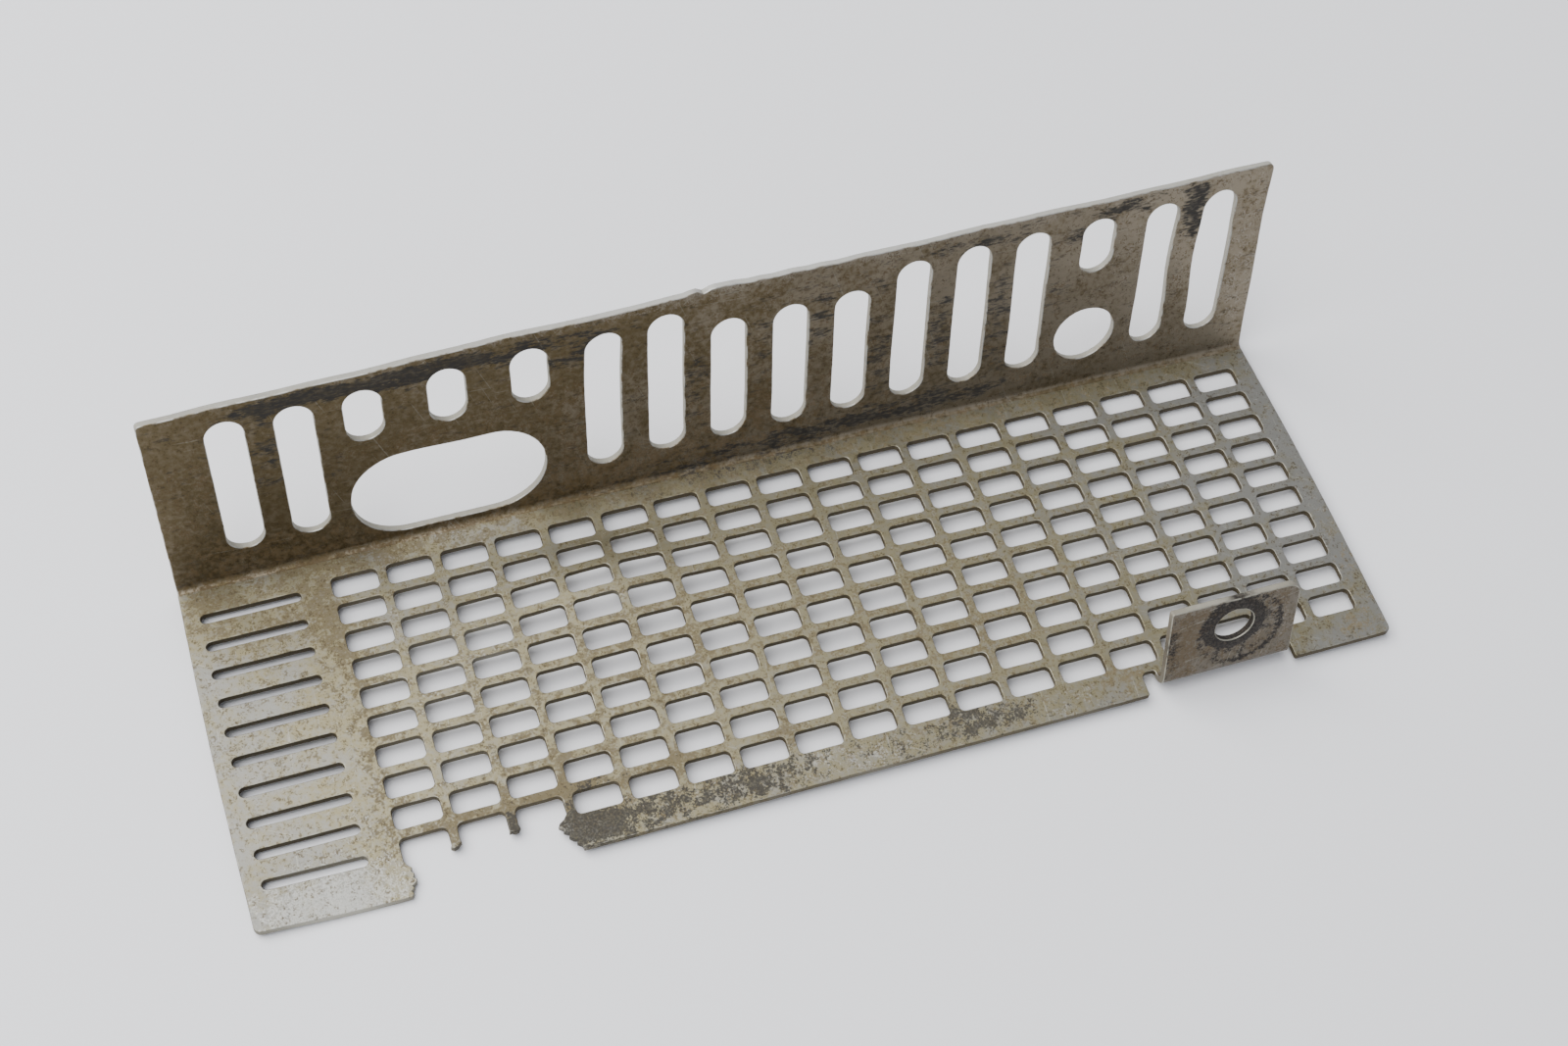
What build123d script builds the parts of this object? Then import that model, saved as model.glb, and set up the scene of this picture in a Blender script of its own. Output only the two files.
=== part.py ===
from build123d import *
from math import cos, sin, radians
import os

# Radiator guard folded from one sheet of aluminium: a flat grille panel, a tall slotted
# flange along its back edge and one mounting tab on its front edge. A second tab and the
# strip of rail that carried it have broken out of the front edge near the left end.
# The sheet is divided only along its fold lines, where neighbouring pieces meet face to face.
#
# X runs along the guard, Y from the front edge to the flange, Z up.
# Z = 0 is the underside of the panel, and X = 0, Y = 0 is the middle of the overall box.

# Sheet and folds
sheet = 1.6  # thickness of the sheet
bend_radius = 1.5  # inside radius of both folds
corner_radius = 1.5  # outer corners of the panel and the flange

# Grille field: a grid of rounded rectangular cells with equal bars between them
columns = 18
rows = 10
cell_length = 10.0
cell_width = 5.0
cell_corner = 1.2
bar = 2.0

# Solid borders of the panel around the grille field
left_land = 31.5  # end plate that holds the louvre slots
right_land = 5.0
back_land = 4.3  # from the grille field to the start of the flange fold
front_land = 7.5  # front rail

# Louvre slots in the end plate, one beside each row of cells
louvre_length = 21.3
louvre_width = 2.2
louvre_inset = 3.5  # from the left edge of the panel

# Break in the front rail
broken_columns = 3  # cells that lost their front bar
stub_length = 4.5  # what is left of the bars between those cells

# Flange: leans away from the panel, past upright
flange_lean = 13.0  # degrees past upright
flange_height = 50.3  # flat height above the fold
slot_width = 8.0
slot_pitch = 14.0
slot_foot = 7.4  # from the fold to the lower end of the tall slots
slot_head = 4.5  # from the upper end of the tall slots to the top edge
short_slot_drop = 4.4  # how much lower the short slots end
short_slots = (2, 3, 4)  # which slots of the middle group are the short ones
small_slot_length = 14.6
small_slot_pitch = 17.5
group_gap = 15.5  # between neighbouring groups of slots
first_slot = 16.5  # from the left end to the first slot
last_slot = 12.5  # from the last slot to the right end

# Large opening under the three small slots, and the round grommet hole
window_length = 42.5
window_height = 23.6
window_foot = 1.0  # from the fold to the lower edge of the large opening
window_shift = -1.5  # along the guard, from the middle small slot
grommet_diameter = 14.5
grommet_height = 13.4  # from the fold to the centre of the hole

# Mounting tab: folded up from the front edge, past upright, so that it leans over the grille
tab_lean = 14.0  # degrees past upright
tab_width = 30.0
tab_height = 19.5  # flat height above its fold
tab_corner = 2.0
tab_hole_diameter = 9.0  # clearance for an M8 screw
tab_hole_height = 12.2  # from the fold to the centre of the hole
tab_from_right = 40.0  # from the right end of the guard to the centre of the tab
tab_recess = 1.5  # from the front edge back to the outer face of the tab
relief_left = 3.2  # width of the relief slot beside the tab on its left
relief_right = 1.6  # and on its right

# Overall sizes that follow
column_pitch = cell_length + bar
row_pitch = cell_width + bar
field_length = columns * column_pitch - bar
field_depth = rows * row_pitch - bar
length = left_land + field_length + right_land
outside_radius = bend_radius + sheet
fold_center_z = sheet + bend_radius
lean = radians(flange_lean)
flange_reach = outside_radius * cos(lean) + flange_height * sin(lean)
panel_depth = front_land + field_depth + back_land

left = -length / 2
right = length / 2
front = -(panel_depth + flange_reach) / 2
fold_line = front + panel_depth
field_left = left + left_land
field_front = front + front_land
field_center_x = field_left + field_length / 2
field_center_y = field_front + field_depth / 2

break_left = field_left
break_right = field_left + broken_columns * column_pitch - bar
stub_end = field_front + cell_width - stub_length

tab_x = right - tab_from_right
tab_left = tab_x - tab_width / 2
tab_right = tab_x + tab_width / 2
tab_fold_line = front + tab_recess + outside_radius
relief_slots = [
    (tab_left - relief_left / 2, relief_left),
    (tab_right + relief_right / 2, relief_right),
]

# Centres of the flange openings along X, in groups from the two ends
left_pair = [left + first_slot, left + first_slot + slot_pitch]
small_slots = [left_pair[1] + slot_pitch + i * small_slot_pitch for i in range(3)]
window_x = small_slots[1] + window_shift
right_pair = [right - last_slot - slot_pitch, right - last_slot]
grommet_x = right_pair[0] - group_gap
middle_start = small_slots[2] + group_gap
middle_count = int(round((grommet_x - group_gap - middle_start) / slot_pitch, 3)) + 1
middle_group = [middle_start + i * slot_pitch for i in range(middle_count)]
tall_slot_length = flange_height - slot_foot - slot_head
short_slot_length = tall_slot_length - short_slot_drop


def wall_plane(fold_y, lean_angle, side):
    """Plane on the inner face of a folded-up wall, with its origin at the end of the fold,
    its X along the guard and its Y up the wall. side is 1 for the back wall, -1 for the front."""
    angle = radians(lean_angle)
    start_y = fold_y + side * bend_radius * cos(angle)
    start_z = fold_center_z - side * bend_radius * sin(angle)
    return Plane(
        origin=(0, start_y, start_z),
        x_dir=(1, 0, 0),
        z_dir=(0, -cos(angle), sin(angle)),
    )


def upright_slots(centers, slot_length, lower_end):
    """Cut a row of upright round-ended slots at the given places along the flange."""
    with Locations([(x, lower_end + slot_length / 2) for x in centers]):
        SlotOverall(slot_length, slot_width, rotation=90, mode=Mode.SUBTRACT)


# Flat grille panel
with BuildPart() as grille_panel:
    with BuildSketch():
        with Locations((0, front)):
            Rectangle(length, panel_depth, align=(Align.CENTER, Align.MIN))
        fillet(vertices().group_by(Axis.Y)[0], corner_radius)
        with Locations((field_center_x, field_center_y)):
            with GridLocations(column_pitch, row_pitch, columns, rows):
                RectangleRounded(cell_length, cell_width, cell_corner, mode=Mode.SUBTRACT)
        with Locations((left + louvre_inset + louvre_length / 2, field_center_y)):
            with GridLocations(louvre_length, row_pitch, 1, rows):
                SlotOverall(louvre_length, louvre_width, mode=Mode.SUBTRACT)
        # the gap that the folded-up tab leaves in the rail, and a round-ended relief beside it
        with Locations((tab_x, front)):
            Rectangle(
                tab_width,
                tab_fold_line - front,
                align=(Align.CENTER, Align.MIN),
                mode=Mode.SUBTRACT,
            )
        for x, width in relief_slots:
            relief_end = tab_fold_line - width / 2
            with Locations((x, relief_end)):
                Circle(width / 2, mode=Mode.SUBTRACT)
            with Locations((x, front)):
                Rectangle(
                    width,
                    relief_end - front,
                    align=(Align.CENTER, Align.MIN),
                    mode=Mode.SUBTRACT,
                )
        # the broken-out piece of rail, with torn ends and stubs of the bars between cells
        with BuildLine():
            Polyline(
                (break_left, stub_end),
                (break_left + 1.2, front + 0.85 * front_land),
                (break_left + 1.5, front + 0.45 * front_land),
                (break_left + 0.4, front + 0.3 * front_land),
                (break_left + 0.1, front),
                (break_left + 0.1, front - front_land),
                (break_right + 1.4, front - front_land),
                (break_right + 1.4, front),
                (break_right + 1.1, front + 0.15 * front_land),
                (break_right - 0.5, front + 0.35 * front_land),
                (break_right - 2.1, front + 0.85 * front_land),
                (break_right, stub_end),
                close=True,
            )
        make_face(mode=Mode.SUBTRACT)
    extrude(amount=sheet)

# Fold between the panel and the flange
with BuildPart() as flange_bend:
    with BuildSketch(Plane.YZ.offset(left)):
        with BuildLine():
            outside = CenterArc((fold_line, fold_center_z), outside_radius, -90, 90 - flange_lean)
            inside = CenterArc((fold_line, fold_center_z), bend_radius, -90, 90 - flange_lean)
            Line(outside @ 0, inside @ 0)
            Line(outside @ 1, inside @ 1)
        make_face()
    extrude(amount=length)

# Flat part of the flange, with its slots, large opening and grommet hole
with BuildPart() as side_flange:
    with BuildSketch(wall_plane(fold_line, flange_lean, 1)):
        Rectangle(length, flange_height, align=(Align.CENTER, Align.MIN))
        fillet(vertices().group_by(Axis.Z)[-1], corner_radius)
        tall = [x for i, x in enumerate(middle_group) if i not in short_slots]
        upright_slots(left_pair + tall + right_pair, tall_slot_length, slot_foot)
        short = [x for i, x in enumerate(middle_group) if i in short_slots]
        upright_slots(short, short_slot_length, slot_foot)
        small_foot = flange_height - slot_head - small_slot_length
        upright_slots(small_slots + [grommet_x], small_slot_length, small_foot)
        with Locations((window_x, window_foot + window_height / 2)):
            SlotOverall(window_length, window_height, mode=Mode.SUBTRACT)
        with Locations((grommet_x, grommet_height)):
            Circle(grommet_diameter / 2, mode=Mode.SUBTRACT)
    extrude(amount=-sheet)

# Fold between the panel and the mounting tab
with BuildPart() as tab_bend:
    with BuildSketch(Plane.YZ.offset(tab_left)):
        with BuildLine():
            outside = CenterArc((tab_fold_line, fold_center_z), outside_radius, -90, -90 - tab_lean)
            inside = CenterArc((tab_fold_line, fold_center_z), bend_radius, -90, -90 - tab_lean)
            Line(outside @ 0, inside @ 0)
            Line(outside @ 1, inside @ 1)
        make_face()
    extrude(amount=tab_width)

# Flat part of the mounting tab, with its screw hole
with BuildPart() as mounting_tab:
    with BuildSketch(wall_plane(tab_fold_line, tab_lean, -1)):
        with Locations((tab_x, 0)):
            Rectangle(tab_width, tab_height, align=(Align.CENTER, Align.MIN))
        fillet(vertices().group_by(Axis.Z)[-1], tab_corner)
        with Locations((tab_x, tab_hole_height)):
            Circle(tab_hole_diameter / 2, mode=Mode.SUBTRACT)
    extrude(amount=sheet)

grille_panel.part.label = "grille_panel"
flange_bend.part.label = "flange_bend"
side_flange.part.label = "side_flange"
tab_bend.part.label = "tab_bend"
mounting_tab.part.label = "mounting_tab"

os.makedirs("parts", exist_ok=True)
export_step(grille_panel.part, "parts/grille_panel.step")
export_step(flange_bend.part, "parts/flange_bend.step")
export_step(side_flange.part, "parts/side_flange.step")
export_step(tab_bend.part, "parts/tab_bend.step")
export_step(mounting_tab.part, "parts/mounting_tab.step")
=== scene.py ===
import math

import bpy
import numpy as np
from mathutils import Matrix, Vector, noise
from mathutils.geometry import delaunay_2d_cdt
from mathutils.kdtree import KDTree


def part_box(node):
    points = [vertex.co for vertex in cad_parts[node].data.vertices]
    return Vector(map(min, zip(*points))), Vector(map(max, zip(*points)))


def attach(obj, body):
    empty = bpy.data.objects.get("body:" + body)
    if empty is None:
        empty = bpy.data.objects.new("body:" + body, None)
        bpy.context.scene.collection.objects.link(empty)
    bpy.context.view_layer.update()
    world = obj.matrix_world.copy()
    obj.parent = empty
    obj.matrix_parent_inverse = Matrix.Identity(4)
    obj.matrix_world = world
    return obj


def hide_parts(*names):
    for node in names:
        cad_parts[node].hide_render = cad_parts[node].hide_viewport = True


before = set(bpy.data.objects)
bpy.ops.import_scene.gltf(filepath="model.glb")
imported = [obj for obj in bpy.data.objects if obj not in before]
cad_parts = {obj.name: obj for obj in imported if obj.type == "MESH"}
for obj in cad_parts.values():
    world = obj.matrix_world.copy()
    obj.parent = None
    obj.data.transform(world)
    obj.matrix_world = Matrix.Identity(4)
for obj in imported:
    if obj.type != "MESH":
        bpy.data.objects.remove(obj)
noise.seed_set(3)  # unseeded, noise_vector starts from the clock and no two runs are the same
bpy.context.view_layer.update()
mm = 0.001  # shapes are worked out in millimetres, meshes are in metres


def mmBox(node):
    low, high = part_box(node)
    return low / mm, high / mm


panelLow, panelHigh = mmBox("grille_panel")
tabLow, tabHigh = mmBox("mounting_tab")
left, right = panelLow.x, panelHigh.x
front, fold = panelLow.y, panelHigh.y
tabFold = mmBox("tab_bend")[1].y
tabLeft, tabRight = tabLow.x, tabHigh.x

# values to change, one dictionary per piece
sheet = {
    "thickness": 1.6,
    "bendRadius": 1.5,
    "edgeRound": 0.2,  # rounding of the cut edges
    "cornerRadius": 1.5,
    "pointSpacing": 3.1,  # longest straight run between two points of an edge
    "bendSteps": 7,
    "edgeJitter": 0.05,  # how uneven the cut edges are
    "innerSpacing": 2.6,  # between the points inside the sheet
    "innerClear": 1.25,  # from those points to the cut edges
}
grille = {
    "columns": 18,
    "rows": 10,
    "columnPitch": 12.0,
    "rowPitch": 7.0,
    "cellLength": 10.0,
    "cellWidth": 5.0,
    "cellCorner": 1.2,
    "leftLand": 31.5,
    "frontLand": 7.5,
    "brokenColumns": 3,
    "stubLength": 4.5,
    "bow": 0.85,  # how far the panel is bowed and twisted
    "bowShape": (2.55, -0.614, -1.069, -0.72, 0.399, 0.301),
    "tilt": (0.0038, 0.0088),
    "clearOfFloor": 0.07,
    "backLeftDrop": 0.65,
}
endPlate = {"slotLength": 21.3, "slotWidth": 2.2, "inset": 3.5}
flange = {
    "lean": 12.3,  # degrees past upright in the middle of the guard
    "twist": (3.85, 0.35, -0.45),  # change of lean towards the right end
    "height": 50.3,
    "slotWidth": 8.0,
    "slotPitch": 14.0,
    "shrink": (0.9885, 0.012),  # height lost to the twist, all along and towards the left end
    "shear": (0.93, 1.15, 0.59),  # how far the upper edge is pushed along the guard
}
tab = {
    "lean": 15.5,
    "height": 19.5,
    "hole": 9.0,
    "holeHeight": 12.2,
    "ringDepth": 0.45,  # how deep the sheet is dished round the hole
    "washerShift": (1.8, 2.2),  # the washer's mark from the hole, along the guard and down
    "washerMark": 9.6,  # radius of the mark
}

fieldLeft = left + grille["leftLand"]
fieldFront = front + grille["frontLand"]
arcLength = math.radians(90 - flange["lean"]) * (sheet["bendRadius"] + sheet["thickness"] / 2)
tabArcLength = math.radians(90 + tab["lean"]) * (sheet["bendRadius"] + sheet["thickness"] / 2)
flangeFoot = fold + arcLength  # where the flat part of the flange starts on the unfolded sheet
flangeTop = flangeFoot + flange["height"]
tabFoot = tabFold - tabArcLength
tabEnd = tabFoot - tab["height"]
tabX = (tabLeft + tabRight) / 2


def makeTree(name, inputs):
    tree = bpy.data.node_groups.new(name, "GeometryNodeTree")
    for label, kind, value in inputs:
        socket = tree.interface.new_socket(name=label, in_out="INPUT", socket_type=kind)
        socket.default_value = value
    tree.interface.new_socket(name="Geometry", in_out="OUTPUT", socket_type="NodeSocketGeometry")
    return tree


def mathNode(tree, operation, a, b=None):
    node = tree.nodes.new("ShaderNodeMath")
    node.operation = operation
    for socket, value in zip(node.inputs, (a, b)):
        if isinstance(value, (int, float)):
            socket.default_value = value
        elif value is not None:
            tree.links.new(value, socket)
    return node.outputs[0]


# one Geometry Nodes tree places every row of holes
cutTree = makeTree("rowsOfCuts", [
    ("Columns", "NodeSocketInt", 18),
    ("Rows", "NodeSocketInt", 10),
    ("Column Pitch", "NodeSocketFloat", 12.0),
    ("Row Pitch", "NodeSocketFloat", 7.0),
    ("Length", "NodeSocketFloat", 10.0),
    ("Width", "NodeSocketFloat", 5.0),
    ("Corner Radius", "NodeSocketFloat", 1.2),
    ("Corner Steps", "NodeSocketInt", 4),
    ("Start X", "NodeSocketFloat", 0.0),
    ("Start Y", "NodeSocketFloat", 0.0),
    ("Skipped In First Row", "NodeSocketInt", 0),
])
given = cutTree.nodes.new("NodeGroupInput").outputs
result = cutTree.nodes.new("NodeGroupOutput")
index = cutTree.nodes.new("GeometryNodeInputIndex").outputs[0]
column = mathNode(cutTree, "MODULO", index, given["Columns"])
row = mathNode(cutTree, "FLOOR", mathNode(cutTree, "DIVIDE", index, given["Columns"]))
places = cutTree.nodes.new("GeometryNodePoints")
spot = cutTree.nodes.new("ShaderNodeCombineXYZ")
shape = cutTree.nodes.new("GeometryNodeCurvePrimitiveQuadrilateral")
rounding = cutTree.nodes.new("GeometryNodeFilletCurve")
rounding.mode = "POLY"
rounding.inputs["Limit Radius"].default_value = True
copies = cutTree.nodes.new("GeometryNodeInstanceOnPoints")
realize = cutTree.nodes.new("GeometryNodeRealizeInstances")
wire = cutTree.nodes.new("GeometryNodeCurveToMesh")
skipped = mathNode(
    cutTree, "MULTIPLY",
    mathNode(cutTree, "LESS_THAN", row, 0.5),
    mathNode(cutTree, "LESS_THAN", column, given["Skipped In First Row"]),
)
placeX = mathNode(
    cutTree, "ADD", given["Start X"], mathNode(cutTree, "MULTIPLY", column, given["Column Pitch"]),
)
placeY = mathNode(
    cutTree, "ADD", given["Start Y"], mathNode(cutTree, "MULTIPLY", row, given["Row Pitch"]),
)
for source, target in (
    (mathNode(cutTree, "MULTIPLY", given["Columns"], given["Rows"]), places.inputs["Count"]),
    (placeX, spot.inputs[0]),
    (placeY, spot.inputs[1]),
    (spot.outputs[0], places.inputs["Position"]),
    (given["Length"], shape.inputs["Width"]),
    (given["Width"], shape.inputs["Height"]),
    (shape.outputs[0], rounding.inputs["Curve"]),
    (given["Corner Radius"], rounding.inputs["Radius"]),
    (given["Corner Steps"], rounding.inputs["Count"]),
    (places.outputs[0], copies.inputs["Points"]),
    (mathNode(cutTree, "LESS_THAN", skipped, 0.5), copies.inputs["Selection"]),
    (rounding.outputs[0], copies.inputs["Instance"]),
    (copies.outputs[0], realize.inputs[0]),
    (realize.outputs[0], wire.inputs["Curve"]),
    (wire.outputs[0], result.inputs[0]),
):
    cutTree.links.new(source, target)


def readLoops(mesh):  # closed outlines of a wire mesh, as lists of (x, y)
    links = {}
    for edge in mesh.edges:
        a, b = edge.vertices
        links.setdefault(a, []).append(b)
        links.setdefault(b, []).append(a)
    loops, seen = [], set()
    for start in links:
        if start in seen:
            continue
        loop, here, last = [], start, None
        while here not in seen:
            seen.add(here)
            point = mesh.vertices[here].co
            if not loop or math.dist(loop[-1], point[:2]) > 0.02:
                loop.append((point.x, point.y))
            following = [n for n in links[here] if n != last]
            last, here = here, following[0]
        if math.dist(loop[0], loop[-1]) < 0.02:
            loop.pop()
        loops.append(loop)
    return loops


def cutRow(name, values):
    host = bpy.data.objects.new(name, bpy.data.meshes.new(name))
    bpy.context.scene.collection.objects.link(host)
    modifier = host.modifiers.new("cuts", "NODES")
    modifier.node_group = cutTree
    for item in cutTree.interface.items_tree:
        if item.in_out == "INPUT" and item.name in values:
            modifier[item.identifier] = values[item.name]
    evaluated = host.evaluated_get(bpy.context.evaluated_depsgraph_get())
    mesh = bpy.data.meshes.new_from_object(evaluated)
    loops = readLoops(mesh)
    bpy.data.objects.remove(host)
    bpy.data.meshes.remove(mesh)
    return loops


# a row of upright slots in the flange, from the first one's distance to the left end
def upright(count, fromLeft, low, high, pitch=flange["slotPitch"], width=flange["slotWidth"]):
    return {
        "Columns": count, "Rows": 1, "Column Pitch": pitch,
        "Length": float(width), "Width": high - low, "Corner Radius": min(width, high - low) / 2,
        "Corner Steps": 7, "Start X": left + fromLeft, "Start Y": flangeFoot + (low + high) / 2,
    }


cutRows = {
    "cells": {
        "Columns": grille["columns"], "Rows": grille["rows"],
        "Column Pitch": grille["columnPitch"], "Row Pitch": grille["rowPitch"],
        "Length": grille["cellLength"], "Width": grille["cellWidth"],
        "Corner Radius": grille["cellCorner"], "Corner Steps": 4,
        "Start X": fieldLeft + grille["cellLength"] / 2,
        "Start Y": fieldFront + grille["cellWidth"] / 2,
        "Skipped In First Row": grille["brokenColumns"],
    },
    "louvres": {
        "Columns": 1, "Rows": grille["rows"], "Row Pitch": grille["rowPitch"],
        "Length": endPlate["slotLength"], "Width": endPlate["slotWidth"],
        "Corner Radius": endPlate["slotWidth"] / 2, "Corner Steps": 4,
        "Start X": left + endPlate["inset"] + endPlate["slotLength"] / 2,
        "Start Y": fieldFront + grille["cellWidth"] / 2,
    },
    "leftPair": upright(2, 16.5, 7.4, 45.8),
    "smallSlots": upright(3, 44.5, 31.2, 45.8, pitch=17.5),
    "window": upright(1, 60.5, 1.0, 24.6, width=42.5),
    "tallSlots": upright(1, 95.0, 7.4, 45.8),
    "raisedSlot": upright(1, 109.0, 7.4, 46.8),
    "shortSlots": upright(3, 123.0, 7.4, 41.4),
    "midSlots": upright(3, 165.0, 7.4, 45.8),
    "smallSlot": upright(1, 208.5, 31.2, 45.8),
    "grommetHole": upright(1, 208.2, 6.15, 20.65, width=14.5),
    "rightPair": upright(2, 224.0, 7.4, 45.8),
    "tabHole": {
        "Columns": 1, "Rows": 1, "Length": tab["hole"], "Width": tab["hole"],
        "Corner Radius": tab["hole"] / 2, "Corner Steps": 7,
        "Start X": tabX, "Start Y": tabFoot - tab["holeHeight"],
    },
}
cutRows["grommetHole"]["Corner Steps"] = 8
cutRows["window"]["Corner Steps"] = 12
holes = [loop for name, values in cutRows.items() for loop in cutRow(name, values)]
print("cut-outs:", len(holes))


# closed path through (x, y, radius) corners, with an arc in each corner that has a radius
def roundedPath(corners, steps=5):
    path = []
    for i, (x, y, radius) in enumerate(corners):
        here = Vector((x, y))
        if not radius:
            path.append((x, y))
            continue
        back = (Vector(corners[i - 1][:2]) - here).normalized()
        ahead = (Vector(corners[(i + 1) % len(corners)][:2]) - here).normalized()
        half = back.angle(ahead) / 2
        center = here + (back + ahead).normalized() * (radius / math.sin(half))
        start = here + back * (radius / math.tan(half)) - center
        turn = start.angle_signed(here + ahead * (radius / math.tan(half)) - center)
        for k in range(steps + 1):
            angle = -turn * k / steps
            spoke = Vector((
                start.x * math.cos(angle) - start.y * math.sin(angle),
                start.x * math.sin(angle) + start.y * math.cos(angle),
            ))
            path.append(tuple(center + spoke))
    return path


breakRight = fieldLeft + grille["brokenColumns"] * grille["columnPitch"] - 2.0
cellTop = fieldFront + grille["cellWidth"]
stubEnd = cellTop - grille["stubLength"]
foldLines = [fold + arcLength * k / sheet["bendSteps"] for k in range(sheet["bendSteps"] + 1)]
tabLines = [tabFold - tabArcLength * k / sheet["bendSteps"] for k in range(sheet["bendSteps"] + 1)]
corner = grille["cellCorner"]
# torn edges as (across, up) steps from the break's ends and from the front edge
leftTear = [
    (0.0, 0.0), (0.5, 0.7), (0.2, 1.3), (0.9, 1.9), (0.6, 2.4), (1.5, 3.0), (1.7, 3.7),
    (1.1, 4.2), (1.5, 4.9), (1.0, 5.6), (1.3, 6.3), (0.5, 7.1),
]
rightTear = [
    (-1.0, 7.2), (-2.0, 6.6), (-2.4, 5.9), (-1.5, 5.1), (-1.7, 4.6), (-0.6, 3.9),
    (-0.9, 3.2), (-0.2, 2.5), (0.6, 2.2), (0.3, 1.5), (1.2, 0.9), (1.4, 0.0),
]
stubEnds = [
    [(0.05, 0.5), (-0.25, -0.1), (0.35, -0.55), (1.2, -0.35), (1.7, 0.15), (2.1, 0.4), (1.95, 1.0)],
    [(0.0, 0.4), (-0.15, -0.3), (0.4, -0.25), (1.0, -0.6), (1.75, -0.45), (2.2, 0.1), (2.0, 0.8)],
]
# hammered stretch and a burr of the flange's upper edge, as (across, up)
hammered = [
    (156.0, 0.0), (151.0, 0.1), (147.0, -0.1), (143.5, 0.05), (140.0, -0.15), (136.5, 0.05),
    (133.0, -0.15), (130.0, 0.05), (127.5, -0.15), (124.5, 0.05), (122.0, 0.1), (120.2, 0.25),
    (119.0, 0.1), (118.2, -0.3), (117.4, -0.6), (116.7, -0.2), (116.0, 0.25), (114.6, 0.15),
    (113.2, -0.1), (111.0, 0.0),
]
corners = [(left, front, sheet["cornerRadius"])]
corners += [(fieldLeft + x, front + y, 0) for x, y in leftTear]
corners += [(fieldLeft, stubEnd, 0), (fieldLeft, cellTop, corner)]
for number, end in enumerate(stubEnds):
    stubX = fieldLeft + grille["cellLength"] + number * grille["columnPitch"]
    corners += [(stubX, cellTop, corner)]
    corners += [(stubX + x, stubEnd + y, 0) for x, y in end]
    corners += [(stubX + 2.0, cellTop, corner)]
corners += [(breakRight, cellTop, corner), (breakRight, stubEnd + 0.4, 0)]
corners += [(breakRight + x, front + y, 0) for x, y in rightTear]
corners += [
    (tabLeft - 3.2, front, 0.4), (tabLeft - 3.2, tabFold + 0.7, 1.4), (tabLeft, tabFold + 0.7, 0.6),
]
corners += [(tabLeft, y, 0) for y in tabLines]
corners += [(tabLeft, tabEnd, 0.6), (tabRight, tabEnd, 3.0)]
corners += [(tabRight, y, 0) for y in reversed(tabLines)]
corners += [
    (tabRight, tabFold + 0.5, 0.4), (tabRight + 1.6, tabFold + 0.5, 0.7), (tabRight + 1.6, front, 0.4),
    (right, front, sheet["cornerRadius"]),
]
corners += [(right, y, 0) for y in foldLines]
corners += [(right, flangeTop, sheet["cornerRadius"])]
corners += [(left + across, flangeTop + up, 0) for across, up in hammered]
corners += [(left, flangeTop, 1.0)]
corners += [(left, y, 0) for y in reversed(foldLines)]
outline = roundedPath(corners)
print("outline points:", len(outline))


def divided(loop, spacing):  # the loop with its long runs split evenly
    fine = []
    for a, b in zip(loop, loop[1:] + loop[:1]):
        count = max(1, math.ceil(math.dist(a, b) / spacing - 0.01))
        stepX, stepY = b[0] - a[0], b[1] - a[1]
        fine += [(a[0] + stepX * k / count, a[1] + stepY * k / count) for k in range(count)]
    return fine


def shaken(loop):
    moved = []
    for x, y in loop:
        drift = noise.noise_vector(Vector((x * 0.35, y * 0.35, 4.0))) * sheet["edgeJitter"]
        onFold = any(abs(y - level) < 0.01 for level in foldLines + tabLines)
        moved.append((x + drift.x, y if onFold else y + drift.y))
    return moved


loops = [shaken(divided(outline, sheet["pointSpacing"]))]
loops += [shaken(divided(loop, sheet["pointSpacing"])) for loop in holes]

# triangles of the unfolded sheet
points, edges = [], []
for loop in loops:
    start = len(points)
    points += loop
    edges += [(start + i, start + (i + 1) % len(loop)) for i in range(len(loop))]

rimTree = KDTree(len(points))
for i, point in enumerate(points):
    rimTree.insert((*point, 0), i)
rimTree.balance()


def lineEnds(y, xLow, xHigh):  # the outline's own points at both ends of a fold line
    return [rimTree.find((x, y, 0))[1] for x in (xLow, xHigh)]


for levels, xLow, xHigh in ((foldLines, left, right), (tabLines, tabLeft, tabRight)):
    for y in levels:
        first, last = lineEnds(y, xLow, xHigh)
        count = math.ceil((xHigh - xLow) / sheet["pointSpacing"])
        start = len(points)
        points += [(xLow + (xHigh - xLow) * k / count, y) for k in range(1, count)]
        chain = [first] + list(range(start, start + count - 1)) + [last]
        edges += list(zip(chain, chain[1:]))

fixedTree = KDTree(len(points))
for i, point in enumerate(points):
    fixedTree.insert((*point, 0), i)
fixedTree.balance()


spacing = sheet["innerSpacing"]
for k in range(int((right - left) / spacing)):
    for j in range(int((flangeTop - tabEnd) / spacing)):
        drift = noise.noise_vector(Vector((k * 1.7, j * 1.3, 9.0))) * 0.35
        x, y = left + 1.4 + k * spacing + drift.x, tabEnd + 1.4 + j * spacing + drift.y
        if fixedTree.find((x, y, 0))[2] > sheet["innerClear"]:
            points.append((x, y))
holeY = tabFoot - tab["holeHeight"]
washerX, washerY = tabX + tab["washerShift"][0], holeY + tab["washerShift"][1]
for radius in (5.2, 5.9, 6.6, 7.4, 8.1, 8.7, 9.3, 9.9, 10.5, 11.1):
    ringX, ringY = (tabX, holeY) if radius < 8 else (washerX, washerY)
    for k in range(44):
        angle = math.tau * (k + radius) / 44
        x, y = ringX + radius * math.cos(angle), ringY + radius * math.sin(angle)
        if tabEnd + 0.7 < y < tabFoot - 0.6 and tabLeft + 0.7 < x < tabRight - 0.7:
            points.append((x, y))

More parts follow.
